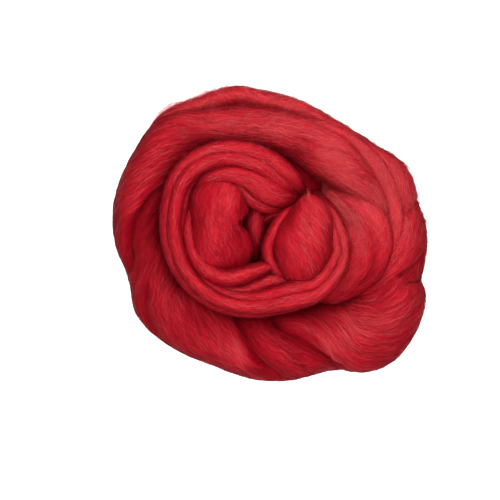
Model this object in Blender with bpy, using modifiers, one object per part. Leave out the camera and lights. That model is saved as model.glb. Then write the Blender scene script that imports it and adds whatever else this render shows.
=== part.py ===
"""A nest of combed wool roving, wound loosely by hand and laid on a flat surface.

Roving is one long, soft, thick strand of combed fibre. Here it is wound clockwise, seen from
above: an outer coil of about a turn and a half whose last stretch lies over its first, a
narrower coil heaped inside it, and a middle where the strand comes up in two round folds.
Every stretch of it is a loft: an oval section carried along a smooth path. The lofts are
fused into one skin, and the bottom is cut off level, as the wool's weight flattens it.

Sizes are in millimetres in the tables and in metres in the mesh.
"""

from collections import namedtuple

import bmesh
import bpy
import numpy as np

MM = 0.001
NODE_NAME = "wound_roving"

# How finely the stretches are lofted and the skin is made. Steps and voxels are millimetres.
CURVE_POINTS_A_ROW = 40
STEP_ALONG = 3.0
SECTION_SIDES = 32
SKIN_VOXEL = 3.0
SKIN_TRIANGLES = 9000
SMOOTHING_PASSES = 3
CUTTER_REACH = 150.0
CUTTER_DEPTH = 40.0

# A stretch's first and last section, as a share of its thickness from the rounded tip.
TIP_SHARE = 0.02

# The two coils' middles, seen from above.
OUTER_MIDDLE = (0.0, 0.0)
INNER_MIDDLE = (-9.0, 3.0)

# A row of a coil: where it lies round the coil's middle, its distance from there, the height
# of the strand's centre line, and the strand's half width and half height.
Turn = namedtuple("Turn", "bearing radius height half_width half_height")

# A row of a fold in the middle of the nest, by its place instead of its bearing.
Lay = namedtuple("Lay", "x y height half_width half_height")

# A seam is a sunk line where a twist of the strand laps over the next. It runs from one
# place and side to another, and the dent fades over one reach on its outer side and another
# on its inner side. A hollow is a soft dimple, and one with a depth under 0 is a swelling.
# A place is a bearing on a coil, and a distance from the first row on a fold. Side 0 is the
# strand's outer side, 90 its top, 180 its inner.
Seam = namedtuple("Seam", "place_1 side_1 place_2 side_2 depth reach_out reach_in")
Hollow = namedtuple("Hollow", "place side depth spread")
MM_PER_DEGREE = 1.4

# A seam comes and goes over this share of its length, and a dent looks this many degrees
# back from where it starts before it counts a side as the long way round.
SEAM_FADE_SHARE = 0.25
SEAM_LOOK_BACK = 120
HOLLOW_LOOK_BACK = 180

OUTER_COIL = [
    Turn(172, 84, 9, 10, 11),
    Turn(150, 88, 12, 13, 14),
    Turn(120, 85, 14, 14, 16),
    Turn(90, 76, 14, 13, 16),
    Turn(60, 69, 14, 14, 16),
    Turn(45, 71, 15, 16, 17),
    Turn(36, 73, 16, 17, 17),
    Turn(24, 79, 16, 19, 18),
    Turn(12, 79, 16, 19, 18),
    Turn(0, 81, 16, 20, 18),
    Turn(-12, 83, 17, 20, 19),
    Turn(-20, 84, 17, 21, 19),
    Turn(-27, 87, 18, 23, 20),
    Turn(-35, 89, 18, 24, 20),
    Turn(-43, 89, 18, 25, 20),
    Turn(-50, 87, 18, 24, 20),
    Turn(-56, 81, 18, 22, 20),
    Turn(-63, 76, 18, 22, 20),
    Turn(-75, 73, 19, 23, 20),
    Turn(-90, 73.5, 19, 22.5, 20),
    Turn(-105, 72, 19, 21, 20),
    Turn(-120, 73, 19, 21, 20),
    Turn(-135, 77, 18, 21, 19),
    Turn(-148, 82, 17, 19, 19),
    Turn(-158, 81, 18, 16, 19),
    Turn(-168, 81, 19, 16, 19),
    Turn(-180, 85, 20, 16, 20),
    Turn(-195, 86, 22, 16, 20),
    Turn(-210, 87, 25, 16, 19),
    Turn(-225, 86, 28, 16, 17),
    Turn(-240, 78, 31, 12, 16),
    Turn(-255, 71, 32, 13, 15),
    Turn(-270, 67, 33, 12.5, 15),
    Turn(-285, 64, 34, 14, 15),
    Turn(-300, 62, 34, 16, 15),
    Turn(-315, 63, 33, 16, 15),
    Turn(-330, 66.5, 31, 14, 13),
    Turn(-343, 71, 27, 10, 11),
    Turn(-358, 73, 19, 6, 8),
]
OUTER_SEAMS = [
    Seam(14, -10, 6, 80, 3.0, 4, 2),
    Seam(-7, 5, -20, 95, 5.0, 8, 2),
    Seam(-17, -25, -24, 75, 4.0, 3, 5),
    Seam(-48, -12, -97, 190, 9.0, 7, 3),
    Seam(-83, 5, -122, 190, 9.0, 2.5, 6),
    Seam(-140, 8, -160, 80, 5.0, 2, 5),
    Seam(-163, 5, -208, 150, 10.0, 1.6, 11),
]
OUTER_HOLLOWS = [
    Hollow(-28, 110, 3.0, 14),
    Hollow(-34, 35, 2.5, 12),
    Hollow(-46, 60, 2.5, 10),
    Hollow(-64, 60, -2.0, 12),
    Hollow(-104, 65, -3.0, 14),
    Hollow(-130, 110, 2.5, 12),
    Hollow(-190, 60, -1.5, 12),
    Hollow(-232, 120, 2.5, 12),
    Hollow(-292, 130, 3.0, 11),
    Hollow(-331, 60, 2.5, 13),
]
TOP_BAND = [
    Turn(141, 100, 20, 2, 4),
    Turn(134, 101, 24, 3, 6),
    Turn(127, 98, 25, 4.5, 8),
    Turn(119, 93.5, 26, 6, 9),
    Turn(105, 91, 27, 6.6, 10),
    Turn(94, 85.4, 27, 6.4, 10),
    Turn(84, 82.2, 27, 6.2, 10),
    Turn(73, 80, 27, 5.6, 9),
    Turn(62, 78.6, 27, 5.2, 9),
    Turn(50, 80, 25, 4.6, 8),
    Turn(40, 80, 21, 3.2, 6),
]
EDGE_BAND = [
    Turn(76, 74, 36, 2.4, 3.5),
    Turn(66, 75.5, 37.5, 3, 3.8),
    Turn(54, 77.5, 38.8, 3.8, 4),
    Turn(42, 78.5, 38.8, 4.4, 4),
    Turn(32, 80, 37.2, 5, 4),
    Turn(22, 80.5, 35.2, 5, 4),
    Turn(12, 80.5, 33.2, 5, 4),
    Turn(2, 80, 31.7, 5, 4),
    Turn(-7, 78, 30.2, 4.4, 4),
    Turn(-16, 73.5, 28, 3.6, 4),
    Turn(-25, 70, 25, 2.4, 3.5),
]
INNER_COIL = [
    Turn(30, 44, 18, 4, 6),
    Turn(18, 45.5, 32, 5, 8),
    Turn(0, 49.5, 41, 6.5, 9),
    Turn(-15, 54.5, 43, 7, 10),
    Turn(-30, 55, 45, 8, 10),
    Turn(-45, 53.5, 46, 9, 10),
    Turn(-60, 48.5, 46, 10, 10),
    Turn(-80, 47, 46, 9, 10),
    Turn(-105, 48.5, 46, 8.5, 10),
    Turn(-135, 50.5, 46, 8.5, 10),
    Turn(-165, 51.5, 46, 8.5, 10),
    Turn(-195, 53.5, 46, 8.5, 10),
    Turn(-215, 56, 46, 8.5, 10),
    Turn(-240, 52.5, 45, 9, 10),
    Turn(-265, 44.5, 45, 10, 10),
    Turn(-290, 38, 43, 10, 9),
    Turn(-306, 36, 36, 8, 9),
    Turn(-317, 35, 22, 5, 7),
]
CRESCENT = [
    Turn(158, 40, 34, 4, 7),
    Turn(140, 43, 42, 7, 9),
    Turn(122, 39, 45, 10, 10),
    Turn(104, 33, 45, 12, 10),
    Turn(86, 27, 44, 14, 10),
    Turn(68, 25, 42, 14, 10),
    Turn(52, 27, 36, 11, 9),
    Turn(42, 31, 23, 6, 7),
]
HIDDEN_COIL = [
    Turn(12, 46, 13, 12, 12),
    Turn(-8, 46, 21, 13, 15),
    Turn(-50, 46, 22, 13, 15),
    Turn(-90, 43, 22, 13, 15),
    Turn(-140, 43, 22, 13, 15),
    Turn(-200, 48, 22, 14, 15),
    Turn(-262, 42, 21, 13, 15),
    Turn(-295, 41, 16, 13, 14),
    Turn(-318, 42, 12, 12, 13),
    Turn(-334, 43, 8, 9, 10),
]
RIGHT_SWELL = [
    Lay(36, 27, 25, 5, 6),
    Lay(48, 18, 32, 12, 8),
    Lay(58, 7, 35, 17, 9),
    Lay(61.5, -6, 34, 17.5, 9),
    Lay(59, -19, 33, 15, 9),
    Lay(51, -30, 29, 11.5, 8),
    Lay(41, -38, 23, 8, 7),
    Lay(31, -42, 16, 4, 5),
]
SWELL_SEAMS = [
    Seam(4, 115, 84, 25, 4.5, 6, 3),
]
LEFT_FOLD = [
    Lay(-27.5, 33, 35, 9, 8),
    Lay(-30, 27.5, 43, 15, 11),
    Lay(-32.3, 20, 48, 19, 13),
    Lay(-33.8, 13, 49, 18.5, 13),
    Lay(-34.3, 6, 49, 17.5, 13),
    Lay(-33.6, -1, 49, 18, 12.5),
    Lay(-32.2, -8, 48, 19.3, 12),
    Lay(-31, -14, 46, 19.3, 11.5),
    Lay(-30, -19, 42, 16, 10),
    Lay(-29.5, -24, 35, 9, 8),
]
LEFT_HOLLOWS = [
    Hollow(28, 5, 5.0, 6.5),
    Hollow(13, 25, 2.5, 8),
    Hollow(14, 75, -1.5, 8),
    Hollow(42, 35, 3.0, 8),
    Hollow(51, 90, 2.0, 9),
    Hollow(26, 150, 1.5, 8),
]
LEFT_BAND = [
    Lay(-50.5, 16, 38, 4, 8),
    Lay(-52, 2, 44, 5, 9),
    Lay(-49, -12, 47, 5.5, 9),
    Lay(-42, -22, 48, 6, 9),
    Lay(-30, -28, 49, 6, 9),
    Lay(-18, -26.5, 49, 5.5, 9),
    Lay(-8, -23, 47, 4.8, 8),
    Lay(-1, -20.5, 43, 4, 7),
    Lay(6, -18.5, 34, 3, 5),
]
LOW_BAND = [
    Lay(-54, -13, 36, 4, 7),
    Lay(-46, -26, 42, 5, 8),
    Lay(-32, -35, 43, 4.5, 8),
    Lay(-18, -36, 43, 4.5, 8),
    Lay(-8, -33, 44, 5, 8),
    Lay(0, -30, 44, 5, 7),
    Lay(8, -30, 41, 4, 6),
    Lay(16, -32, 34, 3, 5),
]
RIGHT_FOLD = [
    Lay(23.2, 22.5, 42, 4, 5),
    Lay(23.5, 19, 46, 9.5, 9),
    Lay(23.5, 14, 48, 14, 12),
    Lay(23, 7, 49, 17.6, 13.5),
    Lay(22, -3, 50, 18.8, 14),
    Lay(21, -12, 49, 18.5, 14),
    Lay(19.5, -20, 45, 16, 13),
    Lay(17, -27, 37, 11, 10),
    Lay(15.5, -31, 31, 7, 8),
]
RIGHT_HOLLOWS = [
    Hollow(11, 145, 4.0, 9),
    Hollow(24, 20, 3.0, 10),
    Hollow(44, 30, 2.0, 10),
]
FOLD_EDGE = [
    Lay(15, 16, 41, 2, 3),
    Lay(9.5, 12, 46, 3, 4),
    Lay(4.5, 6, 49, 3.6, 4.5),
    Lay(0.5, -2, 50, 3.8, 4.5),
    Lay(-1.8, -9, 50, 3.8, 4.5),
    Lay(-1, -16, 49, 3.8, 4.5),
    Lay(3.5, -23, 46, 3.8, 4.5),
    Lay(9, -28, 42, 3.4, 4),
    Lay(15, -31.5, 37, 2.4, 3.5),
]
PACKED_MIDDLE = [
    Lay(-80, 2, 2, 26, 10),
    Lay(-62, 2, 2, 52, 13),
    Lay(-32, 2, 2, 68, 15),
    Lay(0, 2, 2, 72, 15),
    Lay(32, 0, 2, 70, 15),
    Lay(62, -3, 2, 52, 13),
    Lay(80, -4, 2, 26, 10),
]
MIDDLE_STRAND = [
    Lay(-8.8, 16.5, 18, 5, 6),
    Lay(-9.2, 12, 28, 7, 8.5),
    Lay(-9.6, 5, 31, 7, 10),
    Lay(-9.8, -3, 29, 5.4, 9),
    Lay(-9.8, -10, 23, 3.4, 8),
    Lay(-9.6, -16, 16, 2.2, 6),
]
MIDDLE_LOOP = [
    Lay(-5, 1, 20, 2.2, 5),
    Lay(-3.5, 8, 28, 2.8, 6),
    Lay(1, 11.5, 32, 3, 6),
    Lay(7, 12.5, 34, 3, 6),
    Lay(13, 11, 33, 3, 5),
]


def between_rows(rows, count):
    """Values for count even steps along a table, on a Catmull-Rom curve through its rows."""
    table = np.array(rows, float)
    first = 2 * table[0] - table[1]
    last = 2 * table[-1] - table[-2]
    padded = np.vstack([first, table, last])
    place = np.linspace(0, len(table) - 1, count)
    row = np.minimum(place.astype(int), len(table) - 2)
    t = (place - row)[:, None]
    before, start, end, after = (padded[row + k] for k in range(4))
    slope = (end - before) * t
    bend = (2 * before - 5 * start + 4 * end - after) * t**2
    curl = (3 * start - before - 3 * end + after) * t**3
    return 0.5 * (2 * start + slope + bend + curl)


def path_of(rows, middle):
    """The centre line of a stretch, its half sizes, and its place in mm, from its table."""
    fine = between_rows(rows, CURVE_POINTS_A_ROW * len(rows))
    if isinstance(rows[0], Turn):
        angle = np.radians(fine[:, 0])
        x = middle[0] + fine[:, 1] * np.cos(angle)
        y = middle[1] + fine[:, 1] * np.sin(angle)
        place = fine[:, 0] * MM_PER_DEGREE
    else:
        x, y = fine[:, 0], fine[:, 1]
        steps = np.hypot(np.diff(x), np.diff(y))
        place = np.concatenate([[0], np.cumsum(steps)])
    centre = np.column_stack([x, y, fine[:, 2]])
    return centre, (fine[:, 3], fine[:, 4], place)


def evenly_spaced(centre, columns, step):
    """The centre line, its length so far and other columns, at even steps along it."""
    gaps = np.linalg.norm(np.diff(centre, axis=0), axis=1)
    length = np.concatenate([[0], np.cumsum(gaps)])
    along = np.linspace(0, length[-1], int(length[-1] / step) + 2)
    even = np.column_stack([np.interp(along, length, centre[:, k]) for k in range(3)])
    return even, along, [np.interp(along, length, column) for column in columns]


def unit(vectors):
    """Vectors of length one."""
    return vectors / np.linalg.norm(vectors, axis=-1, keepdims=True)


def arc(side, from_side, size, look_back):
    """The way round the strand from one side to another, in mm, from -look_back degrees up."""
    return np.radians((side - from_side + look_back) % 360 - look_back) * size


def seam_dent(seam, place, side, size):
    """The dent of one seam: a straight line over the unrolled surface, deepest on the line."""
    run = seam.place_2 - seam.place_1
    climb = np.radians(seam.side_2 - seam.side_1) * size
    ahead = place - seam.place_1
    above = arc(side, seam.side_1, size, SEAM_LOOK_BACK)
    length = np.hypot(run, climb)
    off = (ahead * climb - above * run) / length
    share = (ahead * run + above * climb) / length**2
    reach = np.where(off > 0, seam.reach_in, seam.reach_out)
    fade_in = np.clip(share / SEAM_FADE_SHARE, 0, 1)
    fade_out = np.clip((1 - share) / SEAM_FADE_SHARE, 0, 1)
    return seam.depth * fade_in * fade_out * np.exp(-np.abs(off) / reach)


def hollow_dent(hollow, place, side, size):
    """The dent of one hollow, which fades evenly on all sides of its middle."""
    above = arc(side, hollow.side, size, HOLLOW_LOOK_BACK)
    far = np.hypot(place - hollow.place, above) / hollow.spread
    return hollow.depth * np.exp(-(far**2))


def on_coil(marks):
    """Seams or hollows of a coil, with their bearings turned into mm."""
    places = [name for name in marks[0]._fields if name.startswith("place")]
    scaled = []
    for mark in marks:
        in_mm = {name: getattr(mark, name) * MM_PER_DEGREE for name in places}
        scaled.append(mark._replace(**in_mm))
    return scaled


def loft(mesh, rows, middle=(0.0, 0.0), seams=(), hollows=()):
    """Adds one stretch of the strand to a bmesh, as rings of points joined by quads."""
    centre, columns = path_of(rows, middle)
    centre, along, columns = evenly_spaced(centre, columns, STEP_ALONG)
    half_width, half_height, place = columns
    forward = unit(np.gradient(centre, axis=0))
    outward = unit(np.cross(np.array([0.0, 0.0, 1.0]), forward))
    upward = np.cross(forward, outward)

    # The ends are rounded over a length like the strand's own thickness.
    from_end = np.minimum(along, along[-1] - along)
    rounding = np.clip(from_end / half_height, TIP_SHARE, 1)
    end_size = np.sqrt(1 - (1 - rounding) ** 2)

    side = np.arange(SECTION_SIDES) * 360 / SECTION_SIDES
    size = np.maximum(half_width, half_height)[:, None]
    dent = np.zeros((len(along), SECTION_SIDES))
    for seam in seams:
        dent += seam_dent(seam, place[:, None], side[None, :], size)
    for hollow in hollows:
        dent += hollow_dent(hollow, place[:, None], side[None, :], size)
    swell = end_size[:, None] * (1 - dent / size)
    across = (half_width[:, None] * np.cos(np.radians(side)) * swell)[:, :, None]
    rise = (half_height[:, None] * np.sin(np.radians(side)) * swell)[:, :, None]
    points = centre[:, None, :] + across * outward[:, None, :] + rise * upward[:, None, :]

    rings = [[mesh.verts.new(point) for point in ring * MM] for ring in points]
    for ring, following in zip(rings, rings[1:]):
        for k in range(SECTION_SIDES):
            beside = (k + 1) % SECTION_SIDES
            mesh.faces.new((ring[k], following[k], following[beside], ring[beside]))
    mesh.faces.new(rings[0])
    mesh.faces.new(rings[-1][::-1])


def wool():
    """A dull red fibre."""
    material = bpy.data.materials.new("red_wool")
    material.use_nodes = True
    shader = material.node_tree.nodes["Principled BSDF"]
    shader.inputs["Base Color"].default_value = (0.42, 0.012, 0.022, 1)
    shader.inputs["Roughness"].default_value = 0.75
    shader.inputs["Metallic"].default_value = 0.0
    return material


def all_stretches():
    """One mesh that holds every stretch of the strand as its own closed loft, centred."""
    lofts = bmesh.new()
    loft(lofts, OUTER_COIL, OUTER_MIDDLE, on_coil(OUTER_SEAMS), on_coil(OUTER_HOLLOWS))
    for rows in (TOP_BAND, EDGE_BAND):
        loft(lofts, rows, OUTER_MIDDLE)
    for rows in (INNER_COIL, CRESCENT, HIDDEN_COIL):
        loft(lofts, rows, INNER_MIDDLE)
    loft(lofts, RIGHT_SWELL, seams=SWELL_SEAMS)
    loft(lofts, LEFT_FOLD, hollows=LEFT_HOLLOWS)
    loft(lofts, RIGHT_FOLD, hollows=RIGHT_HOLLOWS)
    for rows in (LEFT_BAND, LOW_BAND, FOLD_EDGE):
        loft(lofts, rows)
    for rows in (PACKED_MIDDLE, MIDDLE_STRAND, MIDDLE_LOOP):
        loft(lofts, rows)
    bmesh.ops.recalc_face_normals(lofts, faces=lofts.faces)
    places = np.array([vertex.co for vertex in lofts.verts])
    off_centre = (places.min(axis=0) + places.max(axis=0)) / 2
    bmesh.ops.translate(lofts, verts=lofts.verts, vec=(-off_centre[0], -off_centre[1], 0))
    mesh = bpy.data.meshes.new(NODE_NAME)
    lofts.to_mesh(mesh)
    lofts.free()
    return mesh


def level_cutter(collection):
    """A block under the surface, which cuts the nest's bottom off level at height zero."""
    block = bmesh.new()
    bmesh.ops.create_cube(block, size=1.0)
    scale = (2 * CUTTER_REACH * MM, 2 * CUTTER_REACH * MM, CUTTER_DEPTH * MM)
    bmesh.ops.scale(block, verts=block.verts, vec=scale)
    bmesh.ops.translate(block, verts=block.verts, vec=(0, 0, -CUTTER_DEPTH * MM / 2))
    mesh = bpy.data.meshes.new("level_cutter")
    block.to_mesh(mesh)
    block.free()
    cutter = bpy.data.objects.new("level_cutter", mesh)
    cutter.hide_render = True
    cutter.display_type = "WIRE"
    collection.objects.link(cutter)
    return cutter


def triangles_of(piece):
    """How many triangles a piece has with its modifiers on."""
    bpy.context.view_layer.update()
    evaluated = piece.evaluated_get(bpy.context.evaluated_depsgraph_get())
    evaluated.data.calc_loop_triangles()
    return len(evaluated.data.loop_triangles)


def wound_roving(collection, cutter):
    """The nest: its stretches fused into one skin, thinned out, and cut level below."""
    nest = bpy.data.objects.new(NODE_NAME, all_stretches())
    nest.data.materials.append(wool())
    collection.objects.link(nest)

    skin = nest.modifiers.new("one_skin", "REMESH")
    skin.mode = "VOXEL"
    skin.voxel_size = SKIN_VOXEL * MM
    skin.use_smooth_shade = True

    soften = nest.modifiers.new("soften", "SMOOTH")
    soften.factor = 0.5
    soften.iterations = SMOOTHING_PASSES

    full = triangles_of(nest)
    thin = nest.modifiers.new("thin_out", "DECIMATE")
    thin.ratio = SKIN_TRIANGLES / full

    level = nest.modifiers.new("level_bottom", "BOOLEAN")
    level.operation = "DIFFERENCE"
    level.solver = "EXACT"
    level.object = cutter
    return nest


def main():
    for thing in list(bpy.data.objects):
        bpy.data.objects.remove(thing, do_unlink=True)
    parts = bpy.data.collections.new("wool_roving")
    cutters = bpy.data.collections.new("cutters")
    for collection in (parts, cutters):
        bpy.context.scene.collection.children.link(collection)
    wound_roving(parts, level_cutter(cutters))


main()
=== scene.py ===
# %% [markdown]
# # A nest of combed wool roving
#
# Roving is one long, soft, thick strand of combed fibre, before it is spun. Here it is wound
# by hand into a loose nest: an outer coil of a turn and a half, a narrower coil inside it, and
# two round folds in the middle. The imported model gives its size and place. This script makes
# its surface: the strand, with its laps and locks, and the fibres that give it its streaks
# and its soft edge.

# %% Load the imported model
import math
from collections import namedtuple

import bpy
import numpy as np
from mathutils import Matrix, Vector


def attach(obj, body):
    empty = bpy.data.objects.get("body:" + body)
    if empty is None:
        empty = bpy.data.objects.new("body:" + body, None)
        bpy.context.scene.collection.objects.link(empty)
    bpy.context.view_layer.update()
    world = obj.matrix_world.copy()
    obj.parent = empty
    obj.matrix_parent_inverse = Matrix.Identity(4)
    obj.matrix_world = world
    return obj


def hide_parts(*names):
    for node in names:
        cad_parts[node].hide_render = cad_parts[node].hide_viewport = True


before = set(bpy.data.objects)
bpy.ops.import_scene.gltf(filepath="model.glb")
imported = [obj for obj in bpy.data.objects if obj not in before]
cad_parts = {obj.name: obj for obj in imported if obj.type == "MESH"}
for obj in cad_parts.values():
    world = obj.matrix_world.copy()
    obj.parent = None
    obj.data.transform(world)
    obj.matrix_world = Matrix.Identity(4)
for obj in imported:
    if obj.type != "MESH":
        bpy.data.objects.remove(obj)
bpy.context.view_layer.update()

NODE = "wound_roving"
MM = 0.001

# %% [markdown]
# ## The strand's route
#
# A wound form is easiest to describe the way a hand lays it: round a middle. Each row of a
# table says where the strand lies, how wide and thick it is, and its lay, which is the angle
# between its fibres and its own direction. Few rows are needed, as a smooth curve joins them.
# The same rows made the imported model, and one small shift centres both.

# %% What a row says
# A Turn row is on a coil, at a bearing in degrees and a radius round the coil's middle. A Lay
# row is on a fold, at x and y. The lay is in degrees, 0 if left out. All else is in mm.
Turn = namedtuple("Turn", "bearing radius height half_width half_height lay", defaults=[0])
Lay = namedtuple("Lay", "x y height half_width half_height lay", defaults=[0])

# A seam is a sunk line where one twist laps over the next, with a reach for each side of it.
# A hollow is a soft dimple, or a swelling if its depth is under 0. A place is a bearing on a
# coil and a distance from the first row on a fold. Side 0 is the strand's outer side, 90 its
# top and 180 its inner side.
Seam = namedtuple("Seam", "place_1 side_1 place_2 side_2 depth reach_out reach_in")
Hollow = namedtuple("Hollow", "place side depth spread")


def named(kind, rows):
    """Plain rows with their columns named."""
    return [kind(*row) for row in rows]


INNER_MIDDLE = (-9.0, 3.0)
NEST_SHIFT = (-0.08, 0.7, 0.0)

# %% [markdown]
# ## The outer coil
#
# The strand starts low on the left and runs clockwise, so its bearings fall. After one turn
# it climbs over its own beginning. Combed roving keeps a slight twist, which shows as seams
# that slant across the coil, and hands leave hollows and swellings in it. Two thin bands of
# wool have slid off the coil and lie along its top. All of it could be sculpted instead, but
# rows are easy to read and to change.

# %% Rows of the outer coil and its bands
OUTER_COIL = named(Turn, [
    (172, 84, 9, 10, 11, 15),
    (150, 88, 12, 13, 14, 15),
    (120, 85, 14, 14, 16, 15),
    (90, 76, 14, 13, 16, 15),
    (60, 69, 14, 14, 16, 20),
    (45, 71, 15, 16, 17, 22),
    (36, 73, 16, 17, 17, 24),
    (24, 79, 16, 19, 18, 26),
    (12, 79, 16, 19, 18, 27),
    (0, 81, 16, 20, 18, 28),
    (-12, 83, 17, 20, 19, 34),
    (-20, 84, 17, 21, 19, 40),
    (-27, 87, 18, 23, 20, 44),
    (-35, 89, 18, 24, 20, 47),
    (-43, 89, 18, 25, 20, 50),
    (-50, 87, 18, 24, 20, 51),
    (-56, 81, 18, 22, 20, 52),
    (-63, 76, 18, 22, 20, 50),
    (-75, 73, 19, 23, 20, 46),
    (-90, 73.5, 19, 22.5, 20, 42),
    (-105, 72, 19, 21, 20, 38),
    (-120, 73, 19, 21, 20, 34),
    (-135, 77, 18, 21, 19, 34),
    (-148, 82, 17, 19, 19, 36),
    (-158, 81, 18, 16, 19, 40),
    (-168, 81, 19, 16, 19, 43),
    (-180, 85, 20, 16, 20, 46),
    (-195, 86, 22, 16, 20, 38),
    (-210, 87, 25, 16, 19, 32),
    (-225, 86, 28, 16, 17, 24),
    (-240, 78, 31, 12, 16, 14),
    (-255, 71, 32, 13, 15, 4),
    (-270, 67, 33, 12.5, 15, -4),
    (-285, 64, 34, 14, 15, -12),
    (-300, 62, 34, 16, 15, -18),
    (-315, 63, 33, 16, 15, -20),
    (-330, 66.5, 31, 14, 13, -12),
    (-343, 71, 27, 10, 11, -4),
    (-358, 73, 19, 6, 8),
])
OUTER_SEAMS = named(Seam, [
    (14, -10, 6, 80, 3, 4, 2),
    (-7, 5, -20, 95, 5, 8, 2),
    (-17, -25, -24, 75, 4, 3, 5),
    (-48, -12, -97, 190, 9, 7, 3),
    (-83, 5, -122, 190, 9, 2.5, 6),
    (-140, 8, -160, 80, 5, 2, 5),
    (-163, 5, -208, 150, 10, 1.6, 11),
])
OUTER_HOLLOWS = named(Hollow, [
    (-28, 110, 3, 14),
    (-34, 35, 2.5, 12),
    (-46, 60, 2.5, 10),
    (-64, 60, -2, 12),
    (-104, 65, -3, 14),
    (-130, 110, 2.5, 12),
    (-190, 60, -1.5, 12),
    (-232, 120, 2.5, 12),
    (-292, 130, 3, 11),
    (-331, 60, 2.5, 13),
])
TOP_BAND = named(Turn, [
    (141, 100, 20, 2, 4),
    (134, 101, 24, 3, 6, 4),
    (127, 98, 25, 4.5, 8, 6),
    (119, 93.5, 26, 6, 9, 6),
    (105, 91, 27, 6.6, 10, 6),
    (94, 85.4, 27, 6.4, 10, 4),
    (84, 82.2, 27, 6.2, 10, 2),
    (73, 80, 27, 5.6, 9),
    (62, 78.6, 27, 5.2, 9),
    (50, 80, 25, 4.6, 8),
    (40, 80, 21, 3.2, 6),
])
EDGE_BAND = named(Turn, [
    (76, 74, 36, 2.4, 3.5),
    (66, 75.5, 37.5, 3, 3.8),
    (54, 77.5, 38.8, 3.8, 4),
    (42, 78.5, 38.8, 4.4, 4),
    (32, 80, 37.2, 5, 4),
    (22, 80.5, 35.2, 5, 4),
    (12, 80.5, 33.2, 5, 4),
    (2, 80, 31.7, 5, 4),
    (-7, 78, 30.2, 4.4, 4),
    (-16, 73.5, 28, 3.6, 4),
    (-25, 70, 25, 2.4, 3.5),
])

# %% [markdown]
# ## The inner coils
#
# Inside the nest the strand is pulled thinner. It makes one turn high up and ends in a short
# crescent on the far side. The turn under it hardly shows, but a crevice would look empty
# without it, so it is laid too, and so is the wool packed at the bottom of the nest.

# %% Rows of the inner coils
INNER_COIL = named(Turn, [
    (30, 44, 18, 4, 6),
    (18, 45.5, 32, 5, 8, 4),
    (0, 49.5, 41, 6.5, 9, 6),
    (-15, 54.5, 43, 7, 10, 6),
    (-30, 55, 45, 8, 10, 5),
    (-45, 53.5, 46, 9, 10, 4),
    (-60, 48.5, 46, 10, 10, 2),
    (-80, 47, 46, 9, 10),
    (-105, 48.5, 46, 8.5, 10),
    (-135, 50.5, 46, 8.5, 10),
    (-165, 51.5, 46, 8.5, 10),
    (-195, 53.5, 46, 8.5, 10),
    (-215, 56, 46, 8.5, 10),
    (-240, 52.5, 45, 9, 10, -4),
    (-265, 44.5, 45, 10, 10, -6),
    (-290, 38, 43, 10, 9, -6),
    (-306, 36, 36, 8, 9, -4),
    (-317, 35, 22, 5, 7),
])
CRESCENT = named(Turn, [
    (158, 40, 34, 4, 7),
    (140, 43, 42, 7, 9),
    (122, 39, 45, 10, 10),
    (104, 33, 45, 12, 10),
    (86, 27, 44, 14, 10),
    (68, 25, 42, 14, 10),
    (52, 27, 36, 11, 9),
    (42, 31, 23, 6, 7),
])
HIDDEN_COIL = named(Turn, [
    (12, 46, 13, 12, 12, 10),
    (-8, 46, 21, 13, 15, 10),
    (-50, 46, 22, 13, 15, 10),
    (-90, 43, 22, 13, 15, 10),
    (-140, 43, 22, 13, 15, 10),
    (-200, 48, 22, 14, 15, 10),
    (-262, 42, 21, 13, 15, 10),
    (-295, 41, 16, 13, 14, 10),
    (-318, 42, 12, 12, 13, 10),
    (-334, 43, 8, 9, 10, 10),
])
PACKED_MIDDLE = named(Lay, [
    (-80, 2, 2, 26, 10, 10),
    (-62, 2, 2, 52, 13, 10),
    (-32, 2, 2, 68, 15, 10),
    (0, 2, 2, 72, 15, 10),
    (32, 0, 2, 70, 15, 10),
    (62, -3, 2, 52, 13, 10),
    (80, -4, 2, 26, 10, 10),
])

# %% [markdown]
# ## The folds in the middle
#
# The end of the strand is tucked in as two round lobes with a gap between them. Flat bands
# run round the lobes, a broad swell fills the right side between the coils, and two thin
# strands cross low down in the gap. Each is a short stretch of its own, because nobody sees
# how they join under the nest.

# %% Rows of the folds
RIGHT_SWELL = named(Lay, [
    (36, 27, 25, 5, 6),
    (48, 18, 32, 12, 8, 8),
    (58, 7, 35, 17, 9, 14),
    (61.5, -6, 34, 17.5, 9, 14),
    (59, -19, 33, 15, 9, 10),
    (51, -30, 29, 11.5, 8, 4),
    (41, -38, 23, 8, 7),
    (31, -42, 16, 4, 5),
])
SWELL_SEAMS = named(Seam, [
    (4, 115, 84, 25, 4.5, 6, 3),
])
LEFT_FOLD = named(Lay, [
    (-27.5, 33, 35, 9, 8),
    (-30, 27.5, 43, 15, 11),
    (-32.3, 20, 48, 19, 13),
    (-33.8, 13, 49, 18.5, 13, -4),
    (-34.3, 6, 49, 17.5, 13, -8),
    (-33.6, -1, 49, 18, 12.5, -8),
    (-32.2, -8, 48, 19.3, 12, -6),
    (-31, -14, 46, 19.3, 11.5),
    (-30, -19, 42, 16, 10),
    (-29.5, -24, 35, 9, 8),
])
LEFT_HOLLOWS = named(Hollow, [
    (28, 5, 5, 6.5),
    (13, 25, 2.5, 8),
    (14, 75, -1.5, 8),
    (42, 35, 3, 8),
    (51, 90, 2, 9),
    (26, 150, 1.5, 8),
])
LEFT_BAND = named(Lay, [
    (-50.5, 16, 38, 4, 8),
    (-52, 2, 44, 5, 9),
    (-49, -12, 47, 5.5, 9),
    (-42, -22, 48, 6, 9),
    (-30, -28, 49, 6, 9),
    (-18, -26.5, 49, 5.5, 9),
    (-8, -23, 47, 4.8, 8),
    (-1, -20.5, 43, 4, 7),
    (6, -18.5, 34, 3, 5),
])
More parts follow.
